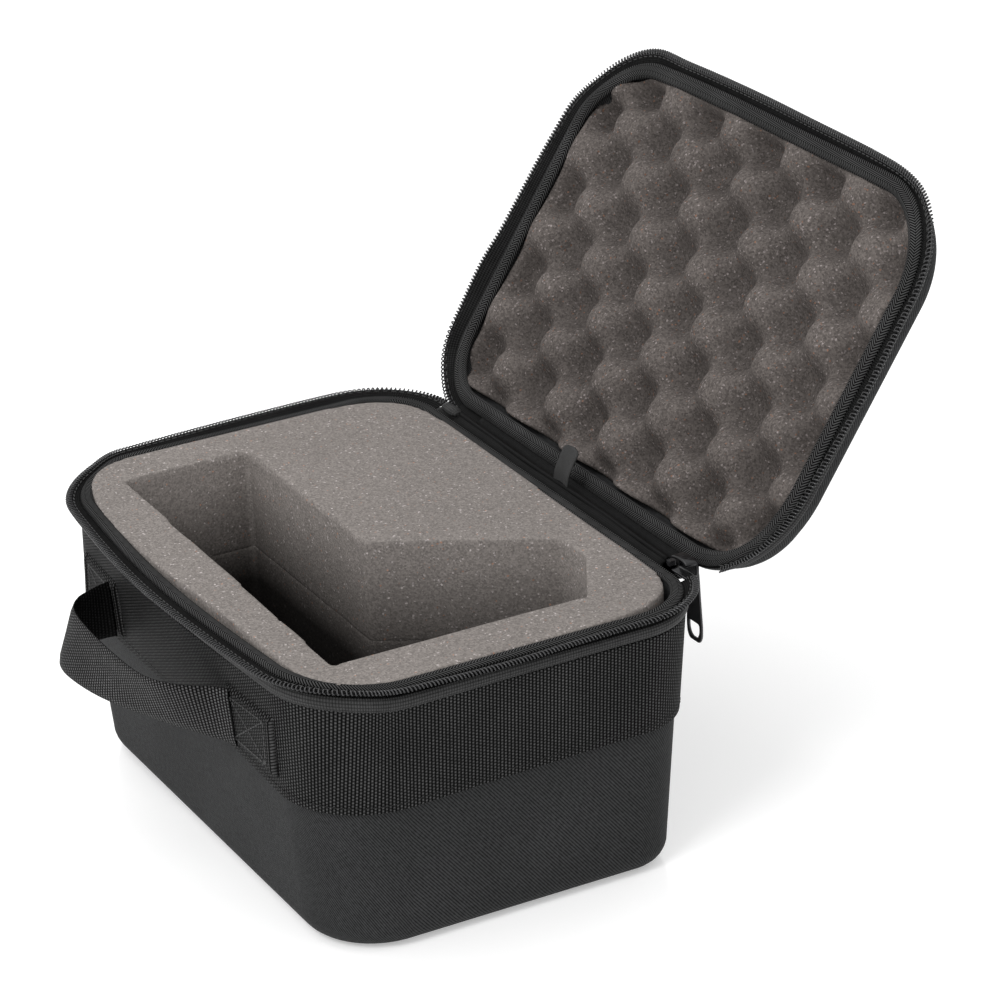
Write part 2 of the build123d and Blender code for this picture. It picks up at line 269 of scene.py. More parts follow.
def lid_hollow_shade():
    """The direction into the open lid, and how far along it the foam's peaks and hollows lie, for the painted
    shade in the hollows.
    """
    way = SWING.to_3x3() @ Vector((0, 0, 1))
    peak = (SWING @ Vector((0, 0, MOUTH))).dot(way)
    return tuple(way), peak + 2 * MM, peak + 11 * MM


# Each cloth's or foam's tones, then its pitches and depth.
shell_twill = twill_cloth("shell_twill", 0.003, 0.046, 1.35 * MM)
band_weave = ribbed_webbing("band_weave", 0.001, 0.074, 1.5 * MM, 1.3 * MM, 0.3 * MM)
strap_weave = ribbed_webbing("strap_weave", 0.002, 0.124, 1.5 * MM, 1.3 * MM, 0.35 * MM)
patch_weave = ribbed_webbing("patch_weave", 0.001, 0.070, 1.5 * MM, 1.3 * MM, 0.25 * MM)
herringbone = herringbone_tape("herringbone", 0.001, 0.068, 2.4 * MM, 1.3 * MM)
zip_cloth = plain_cloth("zip_cloth", 0.002, 0.018, 0.9 * MM, roughness=0.6, specular=0.0)
piping_cloth = plain_cloth("piping_cloth", 0.004, 0.042, 1.1 * MM, roughness=0.5, depth=0.12 * MM)
hinge_cloth = plain_cloth("hinge_cloth", 0.002, 0.010, 0.7 * MM, roughness=0.4, specular=0.03)
ribbon_cloth = plain_cloth("ribbon_cloth", 0.026, 0.044, 0.4 * MM, roughness=0.45)
thread_cloth = plain_cloth("thread_cloth", 0.020, 0.080, 0.5 * MM, roughness=0.4)
dark_thread = plain_cloth("dark_thread", 0.006, 0.024, 0.5 * MM, roughness=0.5)
# The insert foam gets painted shade low in its pocket, and the lid foam gets painted shade in its hollows.
insert_foam = open_foam("insert_foam", (0.205, 0.186, 0.174), 0.26, 0.02, 0.10 * MM, pocket_shade=(0.057, 0.103))
crate_foam = open_foam("crate_foam", (0.098, 0.086, 0.080), 0.36, 0.04, 0.12 * MM, hollows=lid_hollow_shade())
coil_nylon = hard_gloss("coil_nylon", (0.020, 0.020, 0.021, 1), 0.14, 0.0, 0.10)
slider_black = hard_gloss("slider_black", (0.006, 0.006, 0.007, 1), 0.15, 0.2, 0.12)
pull_grey = hard_gloss("pull_grey", (0.028, 0.028, 0.030, 1), 0.34, 0.3, 0.15)


# ---- mesh helpers ----
def linked(name, data):
    made = bpy.data.objects.new(name, data)
    bpy.context.scene.collection.objects.link(made)
    return made


def piece_from(name, points, faces, uvs, material):
    """A mesh piece with outward faces, smooth shading and, if given, a uv pair for each face corner."""
    mesh = bpy.data.meshes.new(name)
    mesh.from_pydata([tuple(p) for p in points], [], faces)
    if uvs is not None:
        layer = mesh.uv_layers.new(name="cloth")
        layer.data.foreach_set("uv", np.array(uvs, np.float32).ravel())
    work = bmesh.new()
    work.from_mesh(mesh)
    bmesh.ops.recalc_face_normals(work, faces=work.faces)
    work.to_mesh(mesh)
    work.free()
    mesh.polygons.foreach_set("use_smooth", [True] * len(mesh.polygons))
    mesh.materials.append(material)
    return linked(name, mesh)


def grid_faces(rows, columns, close_rows, close_columns, start=0):
    """Quads of a grid of points, with each corner's (row, column) where wrapped ones keep counting."""
    faces, corners = [], []
    for i in range(rows if close_rows else rows - 1):
        for j in range(columns if close_columns else columns - 1):
            square = ((i, j), (i + 1, j), (i + 1, j + 1), (i, j + 1))
            faces.append([start + (a % rows) * columns + b % columns for a, b in square])
            corners.extend(square)
    return faces, corners


def distances(points, closed=False):
    """Distance along a line of points, with the way back to the first at the end if it is closed."""
    line = np.array(points, float)
    if closed:
        line = np.vstack([line, line[:1]])
    steps = np.linalg.norm(np.diff(line, axis=0), axis=1)
    return np.concatenate([[0], np.cumsum(steps)])


def swept(name, rings, material, along, across, loop, capped=True):
    """A solid of closed sections: rings is [place][section point], along and across their distances."""
    rings = np.array(rings, float)
    places, section = rings.shape[:2]
    faces, corners = grid_faces(places, section, loop, True)
    uvs = [(along[i], across[j]) for i, j in corners]
    if capped and not loop:
        for i in (0, places - 1):
            faces.append([i * section + j for j in range(section)])
            uvs.extend((along[i] + across[j] * 0.1, across[j]) for j in range(section))
    return piece_from(name, rings.reshape(-1, 3), faces, uvs, material)


def there_and_back(side):
    """The distances across a strip's two faces, closed."""
    return np.concatenate([side, side[::-1], side[:1]])


def rounded(points, radius, steps=4):
    """The corners of a closed section, rounded."""
    made = []
    count = len(points)
    for i in range(count):
        before, here, after = (np.array(points[(i + k) % count], float) for k in (-1, 0, 1))
        back, ahead = before - here, after - here
        before_run, ahead_run = np.linalg.norm(back), np.linalg.norm(ahead)
        cut = min(radius, 0.45 * before_run, 0.45 * ahead_run)
        start = here + back / before_run * cut
        end = here + ahead / ahead_run * cut
        for k in range(steps + 1):
            t = k / steps
            made.append((1 - t) ** 2 * start + 2 * t * (1 - t) * here + t ** 2 * end)
    return np.array(made)


def smooth_line(points, count):
    """A smooth line through given points, as count points evenly spaced along it."""
    given = np.array(points, float)
    padded = np.vstack([2 * given[0] - given[1], given, 2 * given[-1] - given[-2]])
    t = np.linspace(0, 1, 24, endpoint=False)[:, None]
    fine = []
    for p0, p1, p2, p3 in zip(padded, padded[1:], padded[2:], padded[3:]):
        square, cube = 2 * p0 - 5 * p1 + 4 * p2 - p3, 3 * p1 - p0 - 3 * p2 + p3
        fine.append(0.5 * (2 * p1 + (p2 - p0) * t + square * t ** 2 + cube * t ** 3))
    fine = np.vstack(fine + [given[-1:]])
    run = distances(fine)
    wanted = np.linspace(0, run[-1], count)
    return np.stack([np.interp(wanted, run, fine[:, k]) for k in range(given.shape[1])], axis=1)


def tube(points, radius, sides, closed=False):
    """Rings of a round tube along a line of points."""
    line = np.array(points, float)
    if closed:
        ahead = np.roll(line, -1, axis=0) - np.roll(line, 1, axis=0)
    else:
        ahead = np.gradient(line, axis=0)
    ahead /= np.linalg.norm(ahead, axis=1)[:, None]
    up = np.tile([0.0, 0.0, 1.0], (len(line), 1))
    up[np.abs(ahead[:, 2]) > 0.9] = [0.0, 1.0, 0.0]
    side = np.cross(ahead, up)
    side /= np.linalg.norm(side, axis=1)[:, None]
    top = np.cross(side, ahead)
    turn = np.linspace(0, 2 * math.pi, sides, endpoint=False)
    return line[:, None] + radius * (
        np.cos(turn)[None, :, None] * side[:, None] + np.sin(turn)[None, :, None] * top[:, None]
    )


def tube_piece(name, line, radius, sides, material):
    rings = tube(line, radius, sides)
    return swept(name, rings, material, distances(line), distances(rings[0], closed=True), False)


def open_lid(piece):
    piece.data.transform(SWING)
    return piece


def settle(piece, body, slot, *nodes):
    """Says what a piece rides on and which CAD nodes it stands for, which it hides. The slot for its finish
    is not used.
    """
    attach(piece, body)
    if nodes:
        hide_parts(*nodes)
    return piece


def settle_half(piece, half, slot, *nodes):
    """Settles a piece of the base or the lid, which is opened first."""
    if half == "lid":
        open_lid(piece)
    return settle(piece, half, slot, *nodes)


# ---- the case's outline ----
def outline_points(step):
    """Round the rim from the middle of the hinge side, turning right first: places and outward directions."""
    rear_x, rear_y = HALF_X - CORNER, HALF_Y - CORNER
    front_x, front_y = HALF_X - FRONT_CORNER, HALF_Y - FRONT_CORNER
    places, ways = [], []

    def straight(start, end, way):
        count = max(2, round(math.dist(start, end) / step))
        for t in np.arange(count) / count:
            places.append((start[0] + (end[0] - start[0]) * t, start[1] + (end[1] - start[1]) * t))
            ways.append(way)

    def turn(centre, radius, first):
        count = max(6, round(radius * math.pi / 2 / step))
        for angle in np.radians(first - 90 * np.arange(count) / count):
            way = (math.cos(angle), math.sin(angle))
            places.append((centre[0] + radius * way[0], centre[1] + radius * way[1]))
            ways.append(way)

    straight((0, HALF_Y), (rear_x, HALF_Y), (0, 1))
    turn((rear_x, rear_y), CORNER, 90)
    straight((HALF_X, rear_y), (HALF_X, -front_y), (1, 0))
    turn((front_x, -front_y), FRONT_CORNER, 0)
    straight((front_x, -HALF_Y), (-front_x, -HALF_Y), (0, -1))
    turn((-front_x, -front_y), FRONT_CORNER, 270)
    straight((-HALF_X, -front_y), (-HALF_X, rear_y), (-1, 0))
    turn((-rear_x, rear_y), CORNER, 180)
    straight((-rear_x, HALF_Y), (0, HALF_Y), (0, 1))
    return np.array(places), np.array(ways)


RING, OUTWARD = outline_points(1.6 * MM)
RUN = distances(RING, closed=True)
# How each half's soft front bends: how far its middle bows out, and its left and right corners draw in.
BASE_SOFT = (1.9 * MM, 4.7 * MM, 3.6 * MM)
LID_SOFT = (-1.0 * MM, 3.6 * MM, 0.8 * MM)
SOFT = {"base": BASE_SOFT, "lid": LID_SOFT}


def ease(value):
    value = np.clip(value, 0, 1)
    return value * value * (3 - 2 * value)


def flexed(points, soft):
    """Points of the case with its front as the soft material holds it, most at the mouth."""
    bow, left, right = soft
    x, y, z = points[..., 0], points[..., 1], points[..., 2]
    near_front = ease((FRONT_CORNER - HALF_Y - y) / (30 * MM))
    near_mouth = ease((z - 60 * MM) / (40 * MM))
    span = (x / (HALF_X - CORNER)) ** 2
    shift = np.where(x < 0, left, right) * span - bow * np.clip(1 - span, 0, None) ** 2
    moved = np.array(points, float)
    moved[..., 1] += shift * near_front * near_mouth
    return rounder(moved) if soft is LID_SOFT else moved


def rounder(points):
    """Points of the shut lid with its right hinge corner turned to a wider radius."""
    wide = 45 * MM
    step = wide - CORNER
    centre = np.array([HALF_X - wide, HALF_Y - wide])
    offset = points[..., :2] - centre
    far = np.maximum(np.linalg.norm(offset, axis=-1), 1e-9)
    way = offset / far[..., None]
    inside = (way[..., 0] > 0) & (way[..., 1] > 0)
    across = way.sum(axis=-1) * step
    arc_reach = across + np.sqrt(np.clip(across ** 2 - 2 * step ** 2 + CORNER ** 2, 0, None))
    flat_reach = wide / np.maximum(way.max(axis=-1), 0.5)
    on_arc = np.minimum(way[..., 0], way[..., 1]) * arc_reach > step
    old_reach = np.where(on_arc, arc_reach, flat_reach)
    shift = np.where(inside, (wide - old_reach) * np.clip(far / old_reach, 0, 1.4) ** 2, 0)
    moved = np.array(points, float)
    moved[..., :2] += way * shift[..., None]
    return moved


# How far out from the wall the zip's coil runs, in millimetres at distances along the outline.
COIL_OUT = (
    (0, 6.3), (104, 6.3), (122, 3.4), (142, 2.6), (170, 3.4), (200, 5.6), (225, 5.0), (240, 3.6), (270, 4.0),
    (302, 6.0), (390, 6.6), (475, 6.0), (505, 3.8), (537, 4.8), (560, 6.6), (590, 8.0), (625, 8.8),
    (650, 8.0), (690, 6.3),
)
# How much further out the lid's coil runs than the base's.
LID_MORE = (
    (0, 0), (150, 0), (170, 1.0), (235, 1.6), (262, 2.6), (280, 0.6), (296, -2.4), (325, -1.8), (460, -1.6),
    (485, 0), (505, 1.2), (540, 2.6), (556, 2.9), (593, 2.3), (606, 4.2), (614, 4.0), (628, 2.8),
    (645, 2.0), (655, -0.6), (670, -1.8),
)
# How much lower the band was sewn on round the near corner.
BAND_DIP = (
    (0, 0), (150, 0.3), (204, 1.4), (245, 2.9), (272, 3.4), (300, 2.9), (330, 1.0), (355, 0), (778, 0),
)
TAPE_FOLD, TAPE_EDGE = 0.7 * MM, 6.3 * MM


def blurred(run, steps, spread):
    """A list of (distance along the outline, value) in millimetres, smoothed over a spread each way."""
    places, values = np.array(steps, float).T * MM
    shifts = np.linspace(-spread, spread, 9)
    return np.mean([np.interp(run + shift, places, values) for shift in shifts], axis=0)


def reach(run, lid=False):
    """The coil's distance out from the wall. The lid's stays close to it next to the slider."""
    run = np.mod(run, RUN[-1])
    out = blurred(run, COIL_OUT, 10 * MM)
    if not lid:
        return out
    out = out + blurred(run, LID_MORE, 5 * MM)
    return np.where(run < 150 * MM, np.minimum(out, 3.2 * MM), out)


def dip(run):
    return blurred(run, BAND_DIP, 14 * MM)


def ring_section(section, soft=BASE_SOFT, start=None, end=None, loose=False, dips=None):
    """A section of (outwards, up) carried round the outline, or from one distance along it to another.

    A loose section is tape: what stands out past its fold is stretched to where the coil runs.
    dips gives two heights, between which the section goes down by none and all of the band's dip.
    """
    run = RUN[:-1]
    if start is not None:
        run = np.concatenate([[start], run[(run > start) & (run < end)], [end]])
    places, ways = at_run(run)
    section = np.array(section, float)
    out = np.tile(section[:, 0], (len(places), 1))
    if loose:
        share = (reach(run, soft is LID_SOFT) - TAPE_FOLD) / (TAPE_EDGE - TAPE_FOLD)
        out = np.where(out > TAPE_FOLD, TAPE_FOLD + (out - TAPE_FOLD) * share[:, None], out)
    rings = np.zeros((len(places), len(section), 3))
    rings[:, :, :2] = places[:, None] + ways[:, None] * out[:, :, None]
    rings[:, :, 2] = section[None, :, 1]
    if dips is not None:
        share = np.interp(section[:, 1], (dips[1], dips[0]), (1, 0))
        down = dip(run)[:, None] * share[None, :]
        rings[:, :, 2] -= down
        rings[:, :, :2] -= ways[:, None] * down[:, :, None] * DRAFT
    along = run if start is not None else RUN
    return flexed(rings, soft), along, distances(section, closed=True)


def at_run(run):
    """Places and outward directions at distances along the outline."""
    wanted = np.mod(run, RUN[-1])
    places, ways = (
        np.stack([np.interp(wanted, RUN, np.append(line[:, k], line[0, k])) for k in (0, 1)], axis=-1)
        for line in (RING, OUTWARD)
    )
    return places, ways / np.linalg.norm(ways, axis=-1)[..., None]


def along_outline(run, out, up, soft):
    """Points at distances along the outline, out from it and up."""
    places, ways = at_run(run)
    height = np.broadcast_to(up, np.shape(run))
    return flexed(np.column_stack([places + ways * out[:, None], height]), soft)


# ---- moulded shells ----
def arc(centre, radius, first, last, steps):
    turns = np.radians(np.linspace(first, last, steps))
    return [(centre[0] + radius * math.cos(t), centre[1] + radius * math.sin(t)) for t in turns]


def shell_piece(name, section, material, soft):
    """A cup: a section carried round the outline, closed by a flat cap at each end of the section."""
    rings, along, across = ring_section(section, soft)
    places, count = rings.shape[:2]
    faces, corners = grid_faces(places, count, True, False)
    uvs = [(along[i], across[j]) for i, j in corners]
    for column in (0, count - 1):
        faces.append([i * count + column for i in range(places)])
        uvs.extend(rings[:, column, :2])
    piece = piece_from(name, rings.reshape(-1, 3), faces, uvs, material)
    for polygon in piece.data.polygons:
        if len(polygon.vertices) > 4:
            polygon.use_smooth = False
    return piece


def lean(drop):
    return -drop * DRAFT


def base_shell_piece():
    bottom, inner = 10 * MM, 6 * MM
    out_low, in_low = lean(RIM), lean(RIM - WALL) - WALL
    outside = [(lean(RIM - z) - 0.2 * MM * (z > RIM - 1 * MM), z) for z in np.linspace(RIM, bottom, 16)]
    foot = arc((out_low - bottom + 0.9 * MM, bottom), bottom, 0, -90, 9)
    inside_foot = arc((in_low - inner + 0.5 * MM, WALL + inner), inner, -90, 0, 6)
    inside = [(lean(RIM - z) - WALL, z) for z in np.linspace(WALL + inner + 2 * MM, RIM, 8)]
    section = inside_foot + inside + outside + foot[1:]
    piece = shell_piece("base_shell_cloth", section, shell_twill, BASE_SOFT)
    return settle(piece, "base", "shell_cloth", "base_shell")


def lid_shell_piece():
    edge, inner = 9 * MM, 5 * MM
    side = lean(LID_TOP - LID_RIM)
    outside = [(lean(z - LID_RIM), z) for z in np.linspace(LID_RIM, LID_TOP - edge, 4)]
    crown = arc((side - edge + 0.4 * MM, LID_TOP - edge), edge, 0, 90, 9)
    inside_crown = arc((side - WALL - inner, LID_TOP - WALL - inner), inner, 90, 0, 6)
    inside = [(lean(z - LID_RIM) - WALL, z) for z in np.linspace(LID_TOP - WALL - inner - 1 * MM, LID_RIM, 4)]
    section = inside_crown + inside + outside + crown[1:]
    piece = shell_piece("lid_shell_cloth", section, shell_twill, LID_SOFT)
    return settle(open_lid(piece), "lid", "shell_cloth", "lid_shell")


# ---- band and piping ----
def leaning_section(points, rim):
    """Section points given as (outwards from the leaning wall, up)."""
    return [(out + lean(abs(rim - up)), up) for out, up in points]


BAND_THICK = 1.8 * MM
LAID_ON = 0.05 * MM


def band_piece():
    corners = [(LAID_ON, BAND_LOW), (BAND_THICK, BAND_LOW), (BAND_THICK, BAND_HIGH), (LAID_ON, BAND_HIGH)]
    section = rounded(leaning_section(corners, RIM), 0.8 * MM)
    rings, along, across = ring_section(section, dips=(BAND_HIGH + 3 * MM, BAND_LOW + 6 * MM))
    piece = swept("webbing_band_cloth", rings, band_weave, along, across, True)
    return settle(piece, "base", "webbing", "webbing_band")


def band_stitches():
    """The sewing along the band's lower edge."""
    pitch, length = 3.2 * MM, 2.5 * MM
    run = np.arange(int(RUN[-1] / pitch)) * pitch
    up = BAND_LOW + 3.2 * MM - dip(run)
    centres = along_outline(run, BAND_THICK + lean(RIM - up), up, BASE_SOFT)
    piece = stitches("band_stitches", outline_rows(run, centres, length), 0.22 * MM, dark_thread)
    return settle(piece, "base", "thread")


def outline_rows(run, centres, length):
    """Stitches that lie along the outline."""
    ways = at_run(run)[1]
    return [(centre, np.array([-way[1], way[0], 0.0]), length) for centre, way in zip(centres, ways)]


def stitches(name, rows, radius, material):
    """Short threads, each (centre, direction, length), tapering into the cloth at both ends."""
    points, faces, uvs = [], [], []
    shape = ((-0.5, 0.15), (-0.38, 0.85), (0.0, 1.0), (0.38, 0.85), (0.5, 0.15))
    sides = 6
    for centre, way, length in rows:
        line = [centre + way * length * t for t, _ in shape]
        rings = tube(line, 1.0, sides)
        start = len(points)
        for place, (_, width), ring in zip(line, shape, rings):
            points.extend(place + (ring - place) * radius * width)
        quads, corners = grid_faces(len(shape), sides, False, True, start)
        faces.extend(quads)
        uvs.extend((i * length / 4, j * radius) for i, j in corners)
        for i in (0, len(shape) - 1):
            faces.append([start + i * sides + j for j in range(sides)])
            uvs.extend((0, 0) for _ in range(sides))
    return piece_from(name, points, faces, uvs, material)


def piping_piece(half, rim, low, top, side, crown, radius, dips=None):
    """A folded strip round a half: its height, how far its sides and its crown stand out, its rounding."""
    corners = [(LAID_ON, low), (side, low), (crown, (low + top) / 2), (side, top), (LAID_ON, top)]
    section = rounded(leaning_section(corners, rim), radius)
    rings, along, across = ring_section(section, SOFT[half], dips=dips)
    piece = swept(half + "_piping_cloth", rings, piping_cloth, along, across, True)
    settle_half(piece, half, "piping_cloth", half + "_rim_piping")


def piping_pieces():
    top = RIM - 1.6 * MM
    low = top - 4.6 * MM
    piping_piece("base", RIM, low, top, 2.1 * MM, 2.9 * MM, 1.6 * MM, (top, low - 4 * MM))
    low = LID_RIM + 1.2 * MM
    piping_piece("lid", LID_RIM, low, low + 3.4 * MM, 1.1 * MM, 1.5 * MM, 0.9 * MM)


# ---- zip ----
# The sections of the bound edges and of the tape, for mouth_section.
BINDING = {
    "base": ((-4.6, -2.2), (-4.5, -1.0), (-3.6, -0.45), (-2.0, -0.3), (-0.4, -0.5), (0.5, -1.2), (0.7, -2.4)),
    "lid": ((-6.2, -2.6), (-6.0, -1.0), (-4.6, 0.1), (-2.8, 0.3), (-1.0, -0.1), (0.4, -1.0), (0.7, -2.4)),
}
TAPE = (
    (0.4, -2.45), (1.6, -2.1), (3.2, -1.6), (4.6, -0.95),
    (6.2, -0.75), (6.3, -1.25), (4.4, -1.7), (1.6, -2.4),
)
COIL_DROP, SEWING_DROP = 1.0 * MM, 1.05 * MM
COIL_PITCH = 1.5 * MM

# The zip runs from the slider round to the cover; the lid's half starts clear of the pull's swing.
COIL_START = {"base": HALF_X - CORNER + 5.5 * MM, "lid": HALF_X - CORNER + 8 * MM}
COIL_END = RUN[-1] - (HALF_X - CORNER) - 1.5 * MM
# Which way each half lies from the mouth.
INTO = {"base": -1, "lid": 1}


def mouth_section(points, half):
    """Section points given in millimetres as (outwards, towards the other half)."""
    return [(out * MM, MOUTH - INTO[half] * up * MM) for out, up in points]


def tape_pieces(half):
    """The bound edge next to the foam, and the tape that carries the coil."""
    section = rounded(mouth_section(BINDING[half], half), 0.6 * MM, 3)
    rings, along, across = ring_section(section, SOFT[half])
    binding = swept(half + "_binding", rings, herringbone, along, across, True)
    section = rounded(mouth_section(TAPE, half), 0.3 * MM, 2)
    rings, along, across = ring_section(section, SOFT[half], COIL_START[half], COIL_END, loose=True)
    tape = swept(half + "_zip_tape_cloth", rings, zip_cloth, along, across, False)
    for piece in (binding, tape):
        settle_half(piece, half, "zip_tape", half + "_zip_tape")


def coil_piece(half):
    """The nylon coil: one long helix, flattened, sewn along the tape's edge."""
    wire, half_wide, half_high = 0.36 * MM, 1.25 * MM, 0.6 * MM
    steps = 10
    start = COIL_START[half]
    run = np.linspace(start, COIL_END, int((COIL_END - start) / COIL_PITCH * steps))
    phase = (run - start) / COIL_PITCH * 2 * math.pi
    out = reach(run, half == "lid") + 0.1 * MM + half_wide * np.cos(phase)
    up = MOUTH + INTO[half] * COIL_DROP + half_high * np.sin(phase)
    line = along_outline(run, out, up, SOFT[half])
    piece = tube_piece(half + "_coil", line, wire, 5, coil_nylon)
    return settle_half(piece, half, "zip_coil", half + "_zip_teeth")


def coil_sewing(half):
    """The thread that holds the coil down, a stitch for each two turns."""
    run = np.arange(COIL_START[half], COIL_END, 2 * COIL_PITCH)
    out = reach(run, half == "lid") - 1.9 * MM
    centres = along_outline(run, out, MOUTH + INTO[half] * SEWING_DROP, SOFT[half])
    rows = outline_rows(run, centres, 2.3 * MM)
    piece = stitches(half + "_coil_sewing", rows, 0.24 * MM, thread_cloth)
    return settle_half(piece, half, "thread")


# ---- foam ----
def extruded(name, outer, pocket, low, high):
    """A rough block, upright along its outline, with a pocket right through it if one is given."""
    work = bmesh.new()
    for line, flip in ((outer, 1), (pocket or [], -1)):
        foot, head = ([work.verts.new((x, y, z)) for x, y in line] for z in (low, high))
        for k in range(len(line)):
            face = [foot[k - 1], foot[k], head[k], head[k - 1]]
            work.faces.new(face[::flip])
    for height in (low, high):
        edges = [e for e in work.edges if all(abs(v.co.z - height) < 1e-7 for v in e.verts)]
        bmesh.ops.triangle_fill(work, edges=edges, use_beauty=True, use_dissolve=False)
    return linked(name, mesh_from(work, name))


def mesh_from(work, name):
    bmesh.ops.recalc_face_normals(work, faces=work.faces)
    mesh = bpy.data.meshes.new(name)
    work.to_mesh(mesh)
    work.free()
    return mesh


def apply_modifiers(piece):
    graph = bpy.context.evaluated_depsgraph_get()
    made = bpy.data.meshes.new_from_object(piece.evaluated_get(graph))
    piece.modifiers.clear()
    old = piece.data
    piece.data = made
    bpy.data.meshes.remove(old)


def soften(piece, voxel, material):
    """Foam's soft cut edges: the block is remeshed evenly, then smoothed."""
    remesh = piece.modifiers.new("even", "REMESH")
    remesh.mode = "VOXEL"
    remesh.voxel_size = voxel
    smooth = piece.modifiers.new("soft", "SMOOTH")
    smooth.iterations = 1
    smooth.factor = 0.5
    apply_modifiers(piece)
    piece.data.polygons.foreach_set("use_smooth", [True] * len(piece.data.polygons))
    piece.data.materials.clear()
    piece.data.materials.append(material)
    return piece


def wavy(points, step, amount, seed):
    """A hand-cut line: the outline's sides, divided and wandering a little."""
    draw = random.Random(seed)
    phases = [draw.uniform(0, 2 * math.pi) for _ in range(3)]
    made = []
    count = len(points)
    for k in range(count):
        start, end = np.array(points[k], float), np.array(points[(k + 1) % count], float)
        span = np.linalg.norm(end - start)
        way = (end - start) / span
        normal = np.array([way[1], -way[0]])
        divisions = max(1, int(span / step))
        for i in range(divisions):
            t = i / divisions
            share = min(1.0, 4 * min(t, 1 - t))
            place = start + (end - start) * t
            drift = sum(math.sin(place @ (60 + 70 * j, 95 - 40 * j) + phases[j]) for j in range(3)) / 3
            made.append(tuple(place + normal * amount * drift * share))
    return made


# The bent pocket's corners, and the insert's top edge as it sits in the soft mouth, in millimetres.
POCKET = ((-100, -56.5), (98.3, -60.5), (98.3, 46), (66.5, 63), (47.5, 63), (7.6, -2.2), (-100, -2.2))
INSERT_TOP = (
    (-121.8, 35), (-121.7, 0), (-121.9, -38), (-120.3, -53), (-116, -62), (-108, -68.2), (-95, -72.8),
    (-80, -76.2), (-60, -78.1), (-35, -78.8), (-10, -78.4), (15, -77), (45, -75.6), (72, -75.4),
    (95, -74.3), (107, -71), (115.5, -64.5), (120.6, -54), (121.9, -40), (121.9, -8), (121.9, 22),
    (120.7, 47), (117.5, 61), (110.5, 71.5), (100, 77), (84, 79), (40, 79), (0, 79.2), (-50, 79.4),
    (-84, 79.2), (-102, 76.6), (-113, 69.6), (-119.6, 57),
)


def insert_top_outline():
    points = smooth_line(INSERT_TOP + INSERT_TOP[:2], 180) * MM
    run = distances(INSERT_TOP + INSERT_TOP[:1])[-1] * MM
    keep = distances(points)[:-1] < run
    return [tuple(p) for p in points[:len(keep)][keep]]


def level_outline(grow):
    """The case's outline moved in or out, lower down where its walls are stiff."""
    return [tuple(place + way * grow) for place, way in zip(RING[::3], OUTWARD[::3])]


def insert_piece(name, node, outer, pocket, low, high, voxel):
    """A layer of the insert, with the pocket cut through it if there is one."""
    piece = extruded(name, outer, pocket, low, high)
    soften(piece, voxel, insert_foam)
    settle(piece, "base", "insert_foam", node)


def foam_pieces():
    """The layers run past their seam, and the cut wanders a little more in the lower one."""
    corners = [(x * MM, y * MM) for x, y in POCKET]
    lap = 1.2 * MM
    insert_piece(
        "foam_insert_top", "foam_insert_upper", insert_top_outline(),
        wavy(corners, 5 * MM, 0.5 * MM, 5), FOAM_SEAM - lap, FOAM_TOP, 1.2 * MM,
    )
    insert_piece(
        "foam_insert_bottom", "foam_insert_lower", level_outline(lean(RIM - FOAM_FLOOR) - WALL - 0.5 * MM),
        wavy(corners, 5 * MM, 0.62 * MM, 5), FOAM_FLOOR, FOAM_SEAM + lap, 1.4 * MM,
    )
    low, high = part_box("foam_floor_pad")
    floor_outline = level_outline(high.x - HALF_X)
    insert_piece("foam_floor_sheet", "foam_floor_pad", floor_outline, None, low.z, high.z, 2.0 * MM)


CRATE_X, CRATE_Y, CRATE_SHIFT = 45 * MM, 38 * MM, 15 * MM
CRATE_PEAK, CRATE_DEPTH = 0.7 * MM, 11.2 * MM


def crate_height(x, y):
    """How deep the egg-crate face lies behind its peaks: rounded peaks and hollows, in offset rows."""
    ridge = np.cos(2 * math.pi * x / CRATE_X) * np.cos(2 * math.pi * (y + CRATE_SHIFT) / CRATE_Y)
    wander = 0.07 * np.sin(31 * x + 1.3) * np.sin(37 * y + 0.4)
    level = np.clip((ridge + 1) / 2 + wander, 0, 1)
    return (1 - ease(level)) * CRATE_DEPTH


